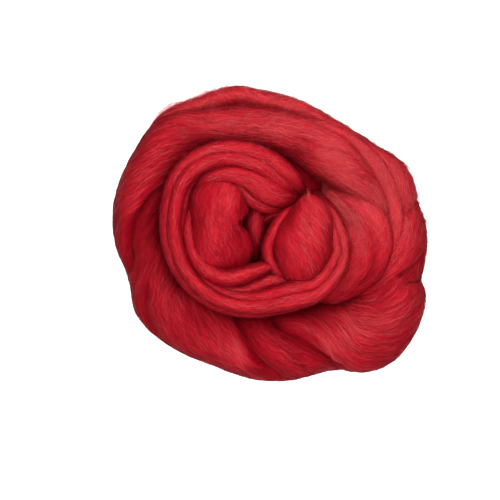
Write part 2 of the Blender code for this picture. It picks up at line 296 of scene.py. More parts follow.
LOW_BAND = named(Lay, [
    (-54, -13, 36, 4, 7),
    (-46, -26, 42, 5, 8),
    (-32, -35, 43, 4.5, 8),
    (-18, -36, 43, 4.5, 8),
    (-8, -33, 44, 5, 8),
    (0, -30, 44, 5, 7),
    (8, -30, 41, 4, 6),
    (16, -32, 34, 3, 5),
])
RIGHT_FOLD = named(Lay, [
    (23.2, 22.5, 42, 4, 5, -10),
    (23.5, 19, 46, 9.5, 9, -25),
    (23.5, 14, 48, 14, 12, -36),
    (23, 7, 49, 17.6, 13.5, -44),
    (22, -3, 50, 18.8, 14, -48),
    (21, -12, 49, 18.5, 14, -48),
    (19.5, -20, 45, 16, 13, -40),
    (17, -27, 37, 11, 10, -25),
    (15.5, -31, 31, 7, 8, -20),
])
RIGHT_HOLLOWS = named(Hollow, [
    (11, 145, 4, 9),
    (24, 20, 3, 10),
    (44, 30, 2, 10),
])
FOLD_EDGE = named(Lay, [
    (15, 16, 41, 2, 3),
    (9.5, 12, 46, 3, 4),
    (4.5, 6, 49, 3.6, 4.5),
    (0.5, -2, 50, 3.8, 4.5),
    (-1.8, -9, 50, 3.8, 4.5),
    (-1, -16, 49, 3.8, 4.5),
    (3.5, -23, 46, 3.8, 4.5),
    (9, -28, 42, 3.4, 4),
    (15, -31.5, 37, 2.4, 3.5),
])
MIDDLE_STRAND = named(Lay, [
    (-8.8, 16.5, 18, 5, 6),
    (-9.2, 12, 28, 7, 8.5),
    (-9.6, 5, 31, 7, 10),
    (-9.8, -3, 29, 5.4, 9),
    (-9.8, -10, 23, 3.4, 8),
    (-9.6, -16, 16, 2.2, 6),
])
MIDDLE_LOOP = named(Lay, [
    (-5, 1, 20, 2.2, 5),
    (-3.5, 8, 28, 2.8, 6),
    (1, 11.5, 32, 3, 6),
    (7, 12.5, 34, 3, 6),
    (13, 11, 33, 3, 5),
])

# %% [markdown]
# ## From rows to a path
#
# A Catmull-Rom curve passes through every row, so a row says exactly what the strand does
# there. The curve is then walked in even steps, because the fibres need true lengths. At
# each step two directions are kept: outward across the strand, and upward.

# %% Smooth values between rows
def between_rows(rows, count):
    """Values at count even places in a table.

    Catmull-Rom: half of (2 b + (c-a) t + (2a-5b+4c-d) t^2 + (3b-a-3c+d) t^3), where a, b, c
    and d are the four rows round the place, and t runs from 0 at b to 1 at c.
    """
    table = np.array(rows, float)
    padded = np.vstack([2 * table[0] - table[1], table, 2 * table[-1] - table[-2]])
    place = np.linspace(0, len(table) - 1, count)
    row = np.minimum(place.astype(int), len(table) - 2)
    t = (place - row)[:, None]
    a, b, c, d = (padded[row + k] for k in range(4))
    return 0.5 * (2 * b + (c - a) * t + (2 * a - 5 * b + 4 * c - d) * t**2
                  + (3 * b - a - 3 * c + d) * t**3)


def unit(vectors):
    """Each vector divided by its own length."""
    return vectors / np.maximum(np.linalg.norm(vectors, axis=-1, keepdims=True), 1e-9)


# %% The path of one stretch
PATH_STEP = 1.0
UP = np.array((0.0, 0.0, 1.0))
Path = namedtuple("Path", "name centre outward upward half_width half_height place twist "
                          "length seams hollows sheltered")


def frame_along(name, centre, half_width, half_height, place, lay, seams=(), hollows=()):
    """Even steps along a line, with its directions and its twist.

    Outward is up cross forward, and upward is forward cross outward. The twist is the sum of
    tan(lay) / half width over each step, which turns the fibres to the lay angle.
    """
    gaps = np.linalg.norm(np.diff(centre, axis=0), axis=1)
    so_far = np.cumsum(np.append(0, gaps))
    along = np.linspace(0, so_far[-1], int(so_far[-1] / PATH_STEP) + 2)
    columns = np.column_stack([centre, half_width, half_height, place, lay])
    even = np.column_stack([np.interp(along, so_far, column) for column in columns.T])
    centre = even[:, :3]
    half_width, half_height, place, lay = even[:, 3:].T
    forward = unit(np.gradient(centre, axis=0))
    outward = unit(np.cross(UP, forward))
    upward = np.cross(forward, outward)
    twist = np.cumsum(np.tan(np.radians(lay)) / half_width) * (along[1] - along[0])
    return Path(name, centre, outward, upward, half_width, half_height, place, twist,
                so_far[-1], seams, hollows, 0.0)


# %% Paths of the coils
MM_PER_DEGREE = 1.4
POINTS_PER_ROW = 40


def path_of(name, rows, middle=(0.0, 0.0), seams=(), hollows=()):
    """The path of a table: round a middle for rows of Turn, straight from x and y for Lay.

    Its place, which seams and hollows refer to, is in mm: the bearing times a fixed length
    per degree on a coil, and the distance from the first row on a fold.
    """
    fine = between_rows(rows, POINTS_PER_ROW * len(rows))
    x, y, height, half_width, half_height, lay = fine.T
    if isinstance(rows[0], Turn):
        bearing, radius = x, y
        x = middle[0] + radius * np.cos(np.radians(bearing))
        y = middle[1] + radius * np.sin(np.radians(bearing))
        place = bearing * MM_PER_DEGREE
        seams = [seam._replace(place_1=seam.place_1 * MM_PER_DEGREE,
                               place_2=seam.place_2 * MM_PER_DEGREE) for seam in seams]
        hollows = [hollow._replace(place=hollow.place * MM_PER_DEGREE) for hollow in hollows]
    else:
        place = np.cumsum(np.append(0, np.hypot(np.diff(x), np.diff(y))))
    centre = np.column_stack([x, y, height]) + NEST_SHIFT
    return frame_along(name, centre, half_width, half_height, place, lay, seams, hollows)


outer = path_of("outer_coil", OUTER_COIL, seams=OUTER_SEAMS, hollows=OUTER_HOLLOWS)
inner = path_of("inner_coil", INNER_COIL, INNER_MIDDLE)
crescent = path_of("crescent", CRESCENT, INNER_MIDDLE)
for path in (outer, inner, crescent):
    print(f"{path.name}: {path.length:.0f} mm of strand")

# %% [markdown]
# ## Plies
#
# Where the strand is pulled thin it parts into a few plies that wander round each other. A
# ply is a thinner strand, whose centre drifts slowly round inside the parent's oval section.

# %% Plies of a parent strand
def plies(parent, count, spread, share, turns, first_angle):
    """Splits a path in count thinner ones.

    Ply k sits at angle (first + k/count turn + drift), at spread times the parent's half
    sizes from its centre. Its own half sizes are share times the parent's.
    """
    steps = np.linspace(0, 1, len(parent.centre))
    found = []
    for k in range(count):
        angle = math.radians(first_angle) + 2 * math.pi * (k / count + turns * steps)
        across = (spread * parent.half_width * np.cos(angle))[:, None] * parent.outward
        rise = (spread * parent.half_height * np.sin(angle))[:, None] * parent.upward
        found.append(frame_along(
            f"{parent.name}_ply_{k + 1}", parent.centre + across + rise,
            share * parent.half_width, share * parent.half_height, parent.place, 0 * steps))
    return found


inner_plies = plies(inner, count=4, spread=0.46, share=0.58, turns=0.35, first_angle=20)
crescent_plies = plies(crescent, count=4, spread=0.46, share=0.56, turns=0.15, first_angle=60)
thin_strands = [*inner_plies, *crescent_plies]
print(len(thin_strands), "plies")

# %% [markdown]
# ## All stretches
#
# The other stretches are single strands. The hidden coil lies under the others, so its
# colour is worked out as if it were sunk deep: a painted shade that keeps it dark red.

# %% All other stretches
# Painted shade: how deep, in mm, the hidden coil counts as sunk when its colour is worked out.
HIDDEN_SHADE_DEPTH = 10.0
top_band = path_of("top_band", TOP_BAND)
folds = [
    path_of("right_swell", RIGHT_SWELL, seams=SWELL_SEAMS),
    path_of("left_fold", LEFT_FOLD, hollows=LEFT_HOLLOWS),
    path_of("left_band", LEFT_BAND),
    path_of("low_band", LOW_BAND),
    path_of("right_fold", RIGHT_FOLD, hollows=RIGHT_HOLLOWS),
    path_of("fold_edge", FOLD_EDGE),
    path_of("middle_strand", MIDDLE_STRAND),
    path_of("middle_loop", MIDDLE_LOOP),
    top_band,
    path_of("edge_band", EDGE_BAND),
]
hidden_coil = path_of("hidden_coil", HIDDEN_COIL, INNER_MIDDLE)
hidden_coil = hidden_coil._replace(sheltered=HIDDEN_SHADE_DEPTH)
packed_middle = path_of("packed_middle", PACKED_MIDDLE)
everything = [outer, hidden_coil, packed_middle, *thin_strands, *folds]
print(f"{len(everything)} stretches, {sum(path.length for path in everything):.0f} mm in all")

# %% [markdown]
# ## The strand's surface
#
# The surface is an oval section carried along the path. Its grid turns with the fibres, so a
# ridge can stay in one column of it. Four things shape the skin: seams, where one twist laps
# over the next, hollows, locks, which are soft ridges a finger wide, and fine ridges.

# %% Noise drawn out along the fibres
NOISE_ROWS = 64


def ease(t):
    """Smooth step: 3 t^2 - 2 t^3, flat at 0 and at 1."""
    return t * t * (3 - 2 * t)


def streaks(along, around, cell, columns, seed):
    """Noise from -1 to 1, long along the strand and narrow round it.

    Random numbers stand in columns round the strand, a cell apart along it. Each column is
    slid by its own random amount, and values between them are eased both ways.
    """
    rng = np.random.default_rng(seed)
    table = rng.uniform(-1, 1, (columns, NOISE_ROWS))
    slide = rng.uniform(0, NOISE_ROWS, columns)
    place = (around / (2 * np.pi) % 1.0) * columns
    left = place.astype(int) % columns
    mix = ease(place - np.floor(place))

    def column_value(column):
        row = along / cell + slide[column]
        low = np.floor(row).astype(int)
        t = ease(row - low)
        return (table[column, low % NOISE_ROWS] * (1 - t)
                + table[column, (low + 1) % NOISE_ROWS] * t)

    return column_value(left) * (1 - mix) + column_value((left + 1) % columns) * mix


# %% Seams and hollows
SEAM_BACK = 120
SEAM_FADES_IN = 0.25


def dents(place, side, size, seams, hollows):
    """How far the skin sinks at its seams and hollows, in mm.

    On the unrolled skin a seam is a straight line. Its dent is depth times e to the minus
    distance over reach, faded in over the first and last quarter of the line. A hollow's
    dent is depth times e to the minus squared distance over squared spread.
    """
    dent = np.zeros(np.broadcast(place, side).shape)
    for place_1, side_1, place_2, side_2, depth, reach_out, reach_in in seams:
        run = place_2 - place_1
        climb = math.radians(side_2 - side_1) * size
        ahead = place - place_1
        above = np.radians((side - side_1 + SEAM_BACK) % 360 - SEAM_BACK) * size
        length = np.sqrt(run**2 + climb**2)
        off = (ahead * climb - above * run) / length
        share = (ahead * run + above * climb) / length**2
        reach = np.where(off > 0, reach_in, reach_out)
        begun = ease(np.clip(share / SEAM_FADES_IN, 0, 1))
        ends = begun * ease(np.clip((1 - share) / SEAM_FADES_IN, 0, 1))
        dent += depth * ends * np.exp(-np.abs(off) / reach)
    for middle, middle_side, depth, spread in hollows:
        above = np.radians((side - middle_side + 180) % 360 - 180) * size
        dent += depth * np.exp(-((place - middle) ** 2 + above**2) / spread**2)
    return dent


# %% Locks and ridges
# A cell is the length of one streak in mm, and the columns stand side by side round the
# strand. The part is the height over the strand's half size.
Layer = namedtuple("Layer", "cell columns part split")
RELIEF = named(Layer, [
    (70, 5, 0.055, False),
    (30, 6, 0.022, False),
    (60, 9, 0.028, True),
    (45, 31, 0.011, True),
    (30, 83, 0.006, False),
])
SEED_STEP = 1000


def relief(along, around, size, seed):
    """Locks and ridges, in mm: layers of streaks, each finer and lower than the last.

    In a split layer the streaks are bent to 2 sqrt(|streak|) - 1, so they meet in narrow
    grooves, as locks of wool do.
    """
    total = 0.0
    for k, (cell, columns, part, split) in enumerate(RELIEF):
        value = streaks(along, around, cell, columns, seed + SEED_STEP * k)
        if split:
            value = 2 * np.sqrt(np.abs(value)) - 1
        total = total + part * size * value
    return total


# %% Points on the skin
def surface(path, along, around):
    """Points, normals and depths of a strand's skin, for arrays of length and angle around.

    The side is the angle around plus the twist. The point is centre + scale * (half width *
    cos(side) * outward + half height * sin(side) * upward). Scale is 1 - depth / size, and
    the depth is the dents less the relief. Both ends close by sqrt(1 - (1 - u)^2), u being
    the distance from the end over the half height. The depths returned add the path's shade
    depth, which only darkens the colour, as painted shade.
    """
    index = np.linspace(0, path.length, len(path.centre))

    def at(values):
        if values.ndim == 1:
            return np.interp(along, index, values)
        return np.stack([np.interp(along, index, v) for v in values.T], axis=-1)

    centre, outward, upward, half_width, half_height = map(at, path[1:6])
    side = around + at(path.twist)
    size = np.maximum(half_width, half_height)
    sunk = dents(at(path.place), np.degrees(side) % 360, size, path.seams, path.hollows)
    from_end = np.clip(np.minimum(along, path.length - along) / half_height, 0.0, 1)
    closing = np.sqrt(np.maximum(1 - (1 - from_end) ** 2, 1e-6))
    depth = sunk - relief(along, around, size, seed=sum(map(ord, path.name)))
    scale = closing * (1 - depth / size)
    across = (scale * half_width * np.cos(side))[..., None] * outward
    rise = (scale * half_height * np.sin(side))[..., None] * upward
    normal = unit((np.cos(side) / half_width)[..., None] * outward
                  + (np.sin(side) / half_height)[..., None] * upward)
    return centre + across + rise, normal, depth + path.sheltered


top_row = surface(outer, np.linspace(10, outer.length - 10, 200), np.full(200, np.pi / 2))
print(f"outer coil's depths: {top_row[2].min():.1f} to {top_row[2].max():.1f} mm")

# %% [markdown]
# ## Painted light and shade, and brushed wool
#
# Every point gets a share from 0 to 1. It rises where the surface faces up and falls in
# hollows, seams and grooves, on steep sides and under the nest. The colour it pales paints
# light on the tops and shade in the hollows and on the sides. Handling also raises fibre ends
# on what faces up, so more loose hairs stand where the share is high.

# %% Fuzzy spots
# Loose hairs stand more thickly by this much round x and y, and less where it is under 0.
# The same spots also pale the colour where more is over 0, a painted sheen, and darken it
# where it is under 0, a painted shade.
Fuzz = namedtuple("Fuzz", "x y spread more")
FUZZ = named(Fuzz, [
    (76, -50, 28, 2),
    (90, 25, 30, 3),
    (50, 45, 30, 2),
    (58, 5, 18, 2.5),
    (-32, 6, 14, 0.5),
    (24, -6, 14, 0.5),
    (10, 85, 35, 2.5),
    (-45, 80, 30, 2),
    (-92, 15, 30, -0.9),
    (-20, -70, 30, -0.5),
])


def fuzziness(points):
    """How thick the loose hairs stand: 1 plus, for each spot, more times e to the minus
    squared distance over squared spread."""
    thick = np.ones(points.shape[:-1])
    for x, y, spread, more in FUZZ:
        off = (points[..., 0] - x) ** 2 + (points[..., 1] - y) ** 2
        thick += more * np.exp(-off / spread**2)
    return thick


# %% The lit and brushed share of any point: painted light and shade
# Painted light: what rises past the steepest lit slope is paled by up to the facing weight.
# Painted shade: the share falls off with depth, in hollows, seams, grooves and the hidden coil;
# a ridge counts as no higher than the highest ridge.
FACING_PAINTED_LIGHT = 0.6
# Painted sheen and shade: how much the fuzzy spots pale or darken the colour.
FUZZ_SHEEN_AND_SHADE = 0.12
STEEPEST_LIT_SLOPE = 0.4
HOLLOW_SHADE_DEPTH = 3.5
HIGHEST_RIDGE = 2.0


def lit_and_brushed_share(points, normal, depth):
    """How lit and brushed each point is, from 0 to 1: painted light on what faces up and
    painted shade in hollows.

    Share = facing painted light * (how far the normal rises past the steepest lit slope) *
    e^(-depth / hollow shade depth) + fuzz sheen and shade * (fuzziness - 1).
    """
    facing_up = np.clip((normal[..., 2] - STEEPEST_LIT_SLOPE) / (1 - STEEPEST_LIT_SLOPE), 0, 1)
    share = facing_up * np.exp(-np.maximum(depth, -HIGHEST_RIDGE) / HOLLOW_SHADE_DEPTH)
    return np.clip(FACING_PAINTED_LIGHT * share + FUZZ_SHEEN_AND_SHADE * (fuzziness(points) - 1), 0, 1)


# The mean share is how much painted light the outer coil's top gets.
print(f"brushed share on the outer coil's top: {lit_and_brushed_share(*top_row).mean():.2f}")

# %% [markdown]
# ## Meshes from grids
#
# A strand's skin is a grid of points that closes round itself and ends in two poles. Its
# faces are worked out as whole arrays, because a loop over so many would be slow.

# %% Make a mesh object
def add_object(name, data):
    """An object that holds a mesh, a light or a camera, put in the scene."""
    made = bpy.data.objects.new(name, data)
    bpy.context.scene.collection.objects.link(made)
    return made


def new_piece(name, points, faces, attributes, uv, material):
    """A mesh object from points in mm and faces of three or four corners (-1 for none)."""
    def flat(values):
        return values.astype(np.float32).ravel()

    mesh = bpy.data.meshes.new(name)
    corners = (faces >= 0).sum(axis=1)
    loops = faces[faces >= 0]
    mesh.vertices.add(len(points))
    mesh.vertices.foreach_set("co", flat(points * MM))
    mesh.loops.add(len(loops))
    mesh.loops.foreach_set("vertex_index", loops.astype(np.int32))
    mesh.polygons.add(len(faces))
    starts = np.cumsum(np.append(0, corners[:-1])).astype(np.int32)
    mesh.polygons.foreach_set("loop_start", starts)
    mesh.polygons.foreach_set("use_smooth", np.ones(len(faces), bool))
    mesh.update(calc_edges=True)
    for key, values in attributes.items():
        kind, field = (("FLOAT", "value") if values.ndim == 1
                       else ("FLOAT_VECTOR", "vector"))
        layer = mesh.attributes.new(key, kind, "POINT")
        layer.data.foreach_set(field, flat(values))
    layer = mesh.uv_layers.new(name="OFBake")
    layer.uv.foreach_set("vector", flat(uv[loops]))
    mesh.materials.append(material)
    mesh.validate()
    piece = add_object(name, mesh)
    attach(piece, "root")
    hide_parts(NODE)
    print(f"{name}: {(corners - 2).sum()} triangles")


# %% Faces of a rolled grid
def rolled_faces(rings, sides, first=0):
    """Corner numbers of a rolled grid with a pole at each end.

    Ring r and side k is vertex first + r * sides + k. The poles are the two vertices after
    the last ring. Each face takes (r, k), (r, k+1), (r+1, k+1), (r+1, k).
    """
    side = np.arange(sides)
    beside = (side + 1) % sides
    ring = np.arange(rings - 1)[:, None] * sides
    quads = np.stack([ring + side, ring + beside, ring + sides + beside, ring + sides + side],
                     axis=-1).reshape(-1, 4)
    last = (rings - 1) * sides
    pole = np.full(sides, rings * sides)
    none = np.full(sides, -1)
    first_cap = np.stack([pole, beside, side, none], axis=1)
    last_cap = np.stack([pole + 1, last + side, last + beside, none], axis=1)
    faces = np.vstack([quads, first_cap, last_cap])
    return np.where(faces >= 0, faces + first, -1)


# %% The skin of a stretch
FLOOR_GAP = 0.3
END_GAP = 0.15
ALONG_MARGIN = 0.01
ROUND_MARGIN = 0.02


def above_floor(points):
    """Points whose height is never under the flat bottom: wool flattens where it rests."""
    return np.maximum(points, (-np.inf, -np.inf, FLOOR_GAP))


def margin_in(values, margin):
    """Values from 0 to 1, pressed together to leave a margin at both ends."""
    return margin + (1 - 2 * margin) * values


def skin_grid(path, along_step, around_step, first):
    """Points of one path's skin, and its faces, wool places, shares and (u, v).

    The wool place, which the streaks of colour follow, is (along, radius cos(around), radius
    sin(around)). The last two points are the poles, at the ends of the centre line.
    """
    girth = np.pi * float(np.max(path.half_width + path.half_height))
    rings, sides = int(path.length / along_step), int(girth / around_step)
    along, around = np.meshgrid(np.linspace(END_GAP, path.length - END_GAP, rings),
                                np.arange(sides) * 2 * np.pi / sides, indexing="ij")
    grid, normal, depth = surface(path, along, around)
    points = above_floor(np.vstack([grid.reshape(-1, 3), path.centre[[0, -1]]]))
    radius = girth / (2 * np.pi)
    place = np.stack([along, radius * np.cos(around), radius * np.sin(around)], axis=-1)
    place = np.vstack([place.reshape(-1, 3), [[0, 0, 0], [path.length, 0, 0]]]) * MM
    share = np.append(lit_and_brushed_share(grid, normal, depth).ravel(), [0.0, 0.0])
    u = np.append(margin_in(along / path.length, ALONG_MARGIN).ravel(), [0.0, 1.0])
    v = np.append(margin_in(around / (2 * np.pi), ROUND_MARGIN).ravel(), [0.5, 0.5])
    return points, rolled_faces(rings, sides, first), place, share, np.column_stack([u, v])


def skin(name, paths, along_step, around_step):
    """One mesh of the skins of some paths, each in its own band of the UV square."""
    parts, total = [], 0
    for n, path in enumerate(paths):
        *part, uv = skin_grid(path, along_step, around_step, total)
        parts.append((*part, (uv + (0, n)) / (1, len(paths))))
        total += len(uv)
    points, faces, place, share, uv = map(np.concatenate, zip(*parts))
    new_piece(name, points, faces, {"wool_place": place, "brushed": share}, uv, skin_wool)


# %% [markdown]
# ## Fibres
#
# The skin alone would look like clay. Wool reads as wool because light catches single
# fibres, so thousands of thin tapered hairs are laid on the skin along its grain. Each is a
# bent three-sided spindle, light enough to repeat. One that would lie inside another stretch
# is left out. Blender has hair curves too, but a mesh can be baked and exported.

# %% Spindles
def spindles(lines, radius, facing, first):
    """Points and faces of many three-sided spindles at once, numbered from the first. Round
    each inner point of a line stand three corners, at thirds of a turn across it. Both ends
    are single points."""
    count, steps, _ = lines.shape
    forward = unit(np.gradient(lines, axis=1))
    across = unit(np.cross(forward, facing))
    rise = np.cross(across, forward)
    inner = slice(1, -1)
    turn = np.arange(3) * 2 * np.pi / 3 + np.pi / 6
    ring = (np.cos(turn)[:, None] * across[:, inner, None, :]
            + np.sin(turn)[:, None] * rise[:, inner, None, :])
    rings = lines[:, inner, None, :] + radius[:, inner, None, None] * ring
    points = np.concatenate([rings.reshape(count, -1, 3), lines[:, [0, -1]]], axis=1)
    first = first + np.arange(count)[:, None, None] * points.shape[1]
    return points.reshape(-1, 3), rolled_faces(steps - 2, 3, first).reshape(-1, 4)


# %% Leave out what nobody sees
BURIED_WITHIN = 0.86
REACH_SHARE = 1.2
CHUNK = 4000


def buried(points, skip):
    """Which points lie inside any stretch but the one named skip.

    A point is inside if, at the nearest of every third step, (across / half width)^2 + (rise
    / half height)^2 is under the buried limit and the step is within reach. Points are taken
    in chunks, to save memory.
    """
    hidden = np.zeros(len(points), bool)
    for path in everything:
        if path.name == skip:
            continue
        centre, outward, upward, half_width, half_height = (
            values[2:-2:3] for values in path[1:6])
        for chunk in np.array_split(np.arange(len(points)), max(len(points) // CHUNK, 1)):
            off = points[chunk, None].astype(np.float32) - centre.astype(np.float32)
            near = np.argmin((off**2).sum(axis=2), axis=1)
            gap = off[np.arange(len(chunk)), near]
            width, height = half_width[near], half_height[near]
            across = (gap * outward[near]).sum(axis=1) / width
            rise = (gap * upward[near]).sum(axis=1) / height
            reach = REACH_SHARE * np.maximum(width, height)
            inside = across**2 + rise**2 < BURIED_WITHIN
            hidden[chunk] |= inside & (np.linalg.norm(gap, axis=1) < reach)
    return hidden


# %% Kinds of hair
# Thinnest and thickest are radii. They, the lengths, lift and sway are in mm, and the slant
# from the grain in degrees. Free hairs stand off at one end, and fringe ones only on skin so
# steep that its normal's z is near the fringe facing.
HAIR_STEPS = 6
Hair = namedtuple("Hair", "per_cm2 shortest longest thinnest thickest lift slant sway waves "
                          "free fringe")
LAID = Hair(22, 6, 18, 0.06, 0.13, 0.7, 12, 0.6, 1.5, False, False)
RUMPLED = Hair(21, 4, 12, 0.06, 0.12, 0.9, 22, 0.8, 1.5, False, False)
LOOSE = Hair(10, 3, 9, 0.05, 0.08, 2.0, 55, 0.8, 1.2, True, False)
FRINGE = Hair(16, 2, 6, 0.08, 0.13, 2.2, 50, 0.8, 1.0, True, True)
FRINGE_FACING = 0.2
FRINGE_FACING_SPREAD = 0.3
THICKEST_FUZZ = 1 + max(spot.more for spot in FUZZ)

# %% Lay hairs on a strand
LEAST_LIFT = 0.15
LONGEST_SHARE = 0.8
UNDERSIDE = 1.5
Bundle = namedtuple("Bundle", "lines radius facing along around share")


def hair_routes(path, hair, rng, count):
    """Lengths along a strand and angles round it that hairs pass through, step by step.

    A hair leans from the grain by a random slant and sways by a sine wave: along = first +
    span cos(lean) t, and around = start + (span sin(lean) t + sway sin(2 pi (waves t +
    phase))) / size, with t from 0 to 1 along it.
    """
    span = np.minimum(rng.uniform(hair.shortest, hair.longest, count),
                      LONGEST_SHARE * path.length)
    first = rng.uniform(1, path.length - 1 - span)
    t = np.linspace(0, 1, HAIR_STEPS)[None]
    lean = np.radians(rng.normal(0, hair.slant, count))[:, None]
    along = np.clip(first[:, None] + span[:, None] * np.cos(lean) * t, 0.5, path.length - 0.5)
    wave = np.sin(2 * np.pi * (hair.waves * t + rng.random((count, 1))))
    sway = rng.normal(0, hair.sway, count)[:, None] * wave
    sideways = span[:, None] * np.sin(lean) * t + sway
    start = rng.uniform(0, 2 * np.pi, count)[:, None]
    return along, start + sideways / float(np.mean(path.half_width))


def hairs_on(path, hair, rng, density=1.0):
    """A bundle of hairs that follow a strand's grain.

    A laid hair stands off the skin by lift sin(pi t)^0.6, a free one by lift t times the
    root of the fuzziness. The radius is thick (1 - (2t-1)^4). The chance of a loose hair is
    fuzziness times the lit and brushed share, which also carries painted light and shade, and
    of a fringe one fuzziness less 1, both over the thickest fuzz.
    """
    girth = np.pi * float(np.mean(path.half_width + path.half_height))
    spare = THICKEST_FUZZ if hair.free else 1
    count = int(spare * density * hair.per_cm2 * path.length * girth / 100)
    along, around = hair_routes(path, hair, rng, count)
    points, normal, depth = surface(path, along, around)
    share = lit_and_brushed_share(points, normal, depth)
    t = np.linspace(0, 1, HAIR_STEPS)[None]
    rise = t if hair.free else np.sin(np.pi * t) ** 0.6
    stand = rng.uniform(LEAST_LIFT, hair.lift, count)[:, None] * rise
    if hair.free:
        stand = stand * fuzziness(points) ** 0.5
    lines = points + stand[..., None] * normal
    half = HAIR_STEPS // 2
    middle = lines[:, half]
    kept = ~buried(middle, path.name) & (middle[:, 2] > UNDERSIDE)
    if hair.free:
        fuzz = fuzziness(middle)
        wanted = fuzz - 1 if hair.fringe else fuzz * share[:, half]
        kept &= rng.random(count) * THICKEST_FUZZ < wanted
    if hair.fringe:
        kept &= np.abs(normal[:, half, 2] - FRINGE_FACING) < FRINGE_FACING_SPREAD
    thick = rng.uniform(hair.thinnest, hair.thickest, count)[:, None]
    radius = thick * (1 - (2 * t - 1) ** 4)
    parts = (above_floor(lines), radius, normal, along, around, share)
    return Bundle(*[part[kept] for part in parts])


# %% One mesh of many hairs
PLACE_RADIUS = 12.0
CELL_MARGIN = 0.1
TIP_MARGIN = 0.02


def over_spindle(values):
    """Values at the steps of each hair, given to its points: three to a ring, then the tips."""
    rings = np.repeat(values[:, 1:-1], 3, axis=1)
    return np.concatenate([rings, values[:, [0, -1]]], axis=1)


def bake_cells(first, count, steps, cells):
    """u and v of hairs, each in its own square cell, cells to a row. Its steps run from left
    to right there, and its three corners stand in three rows."""
    cell = np.arange(first, first + count)
    corner = np.stack([cell % cells, cell // cells], axis=1)[:, None, :]
    along = np.append(np.repeat(np.arange(1, steps - 1), 3) / (steps - 1),
                      [TIP_MARGIN, 1 - TIP_MARGIN])
    side = np.append(np.tile(np.arange(3), steps - 2) / 3 + 0.1, [0.4, 0.4])
    local = margin_in(np.stack([along, side], axis=1), CELL_MARGIN)
    return ((corner + local) / cells).reshape(-1, 2)


def hair_piece(name, bundles, material, rng):
    """One mesh of all hairs in some bundles, each hair with its own shade and bake cell."""
    cells = math.ceil(math.sqrt(sum(len(bundle.lines) for bundle in bundles)))
    parts, total, number = [], 0, 0
    for lines, radius, facing, along, around, share in bundles:
        count, steps, _ = lines.shape
        points, faces = spindles(lines, radius, facing, total)
        place = np.stack([along, PLACE_RADIUS * np.cos(around),
                          PLACE_RADIUS * np.sin(around)], axis=-1)
        parts.append((points, faces, over_spindle(place).reshape(-1, 3) * MM,
                      np.repeat(rng.random(count), len(points) // count),
                      over_spindle(share).ravel(), bake_cells(number, count, steps, cells)))
        total += len(points)
        number += count
    points, faces, place, shade, share, uv = map(np.concatenate, zip(*parts))
    attributes = {"wool_place": place, "hair_shade": shade, "brushed": share}
    new_piece(name, points, faces, attributes, uv, material)


# %% [markdown]
# ## Wisps
#
# Handling pulls small fans of fibres out of the strand. Each fan keeps a narrow root and
# spreads to loose tips, so it is drawn from one row that names where it starts and ends.
# Two thin ones stand along the upper left edge.

# %% Rows of the wisps
# From x, y and height to to_x, to_y and to_height, in mm. The bow bends all hairs of a wisp
# to one side, the crimp makes them wave and the rise spreads them upwards.
Wisp = namedtuple("Wisp", "x y height to_x to_y to_height bow hairs width crimp rise")
WISPS = named(Wisp, [
    (30, 30, 40, 58, 0, 46, 2, 34, 9, 0.9, 1),
    (36, 22, 42, 66, -12, 46, 3, 26, 10, 0.9, 1),
    (24, 18, 58, 23, 29, 58, 0.5, 10, 2, 0.4, 1),
    (46, 64, 44, 80, 18, 38, 5, 50, 3, 0.6, 1),
])
EDGE_WISPS = named(Wisp, [
    (-81, 67, 27, -49, 87, 30, 3.5, 30, 3, 0.9, 3.5),
    (-62, 80, 30, -22, 94, 31, 3, 22, 3.5, 0.9, 3.5),
])
WISP_STEPS = 9
WISP_WAVES = 3
WISP_RADII = (0.05, 0.09)
print("hairs in wisps:", sum(wisp.hairs for wisp in WISPS + EDGE_WISPS))

# %% Fans of loose hairs
ROOT_SPREAD = 0.2
TIP_SPREAD = 0.5
BOW_SPREAD = 0.3
RISE_RANGE = (-1, 1.5)
LATEST_START = 0.35
EARLIEST_END = 0.7
PLACE_SPAN = 60
PLACE_RANGE = 500
PLACE_TURN = 6


def wisp_lines(wisp, rng):
    """Centre lines of a wisp's hairs, from a narrow root to a wide loose end.

    Point = (1-t) start + t end + (4 bow t (1-t) + sway) sideways + (a chance share of the
    rise + sway) upwards, with sway = crimp sin(2 pi (waves t + phase)) t, and t from 0 to 1
    along a hair.
    """
    t = np.linspace(0, 1, WISP_STEPS)[None, :, None]
    hairs, each = (wisp.hairs, 1), (wisp.hairs, 1, 1)
    start, end = np.reshape(wisp[:6], (2, 3)) + NEST_SHIFT
    across = unit(np.cross(end - start, UP))
    root = start + rng.normal(0, ROOT_SPREAD, hairs) * wisp.width * across
    tip = end + rng.normal(0, TIP_SPREAD, hairs) * wisp.width * across
    early = rng.uniform(0, LATEST_START, hairs)
    late = rng.uniform(EARLIEST_END, 1.0, hairs)
    first, last = root + early * (tip - root), root + late * (tip - root)
    bow = -wisp.bow * rng.normal(1, BOW_SPREAD, each) * 4 * t * (1 - t)
    wave = np.sin(2 * np.pi * (WISP_WAVES * t + rng.random(each)))
    sway = wisp.crimp * rng.normal(0, 1, each) * wave * t
    lift = wisp.rise * rng.uniform(*RISE_RANGE, each)
    straight = first[:, None] * (1 - t) + last[:, None] * t
    return straight + (bow + sway) * across + UP * (lift + sway)


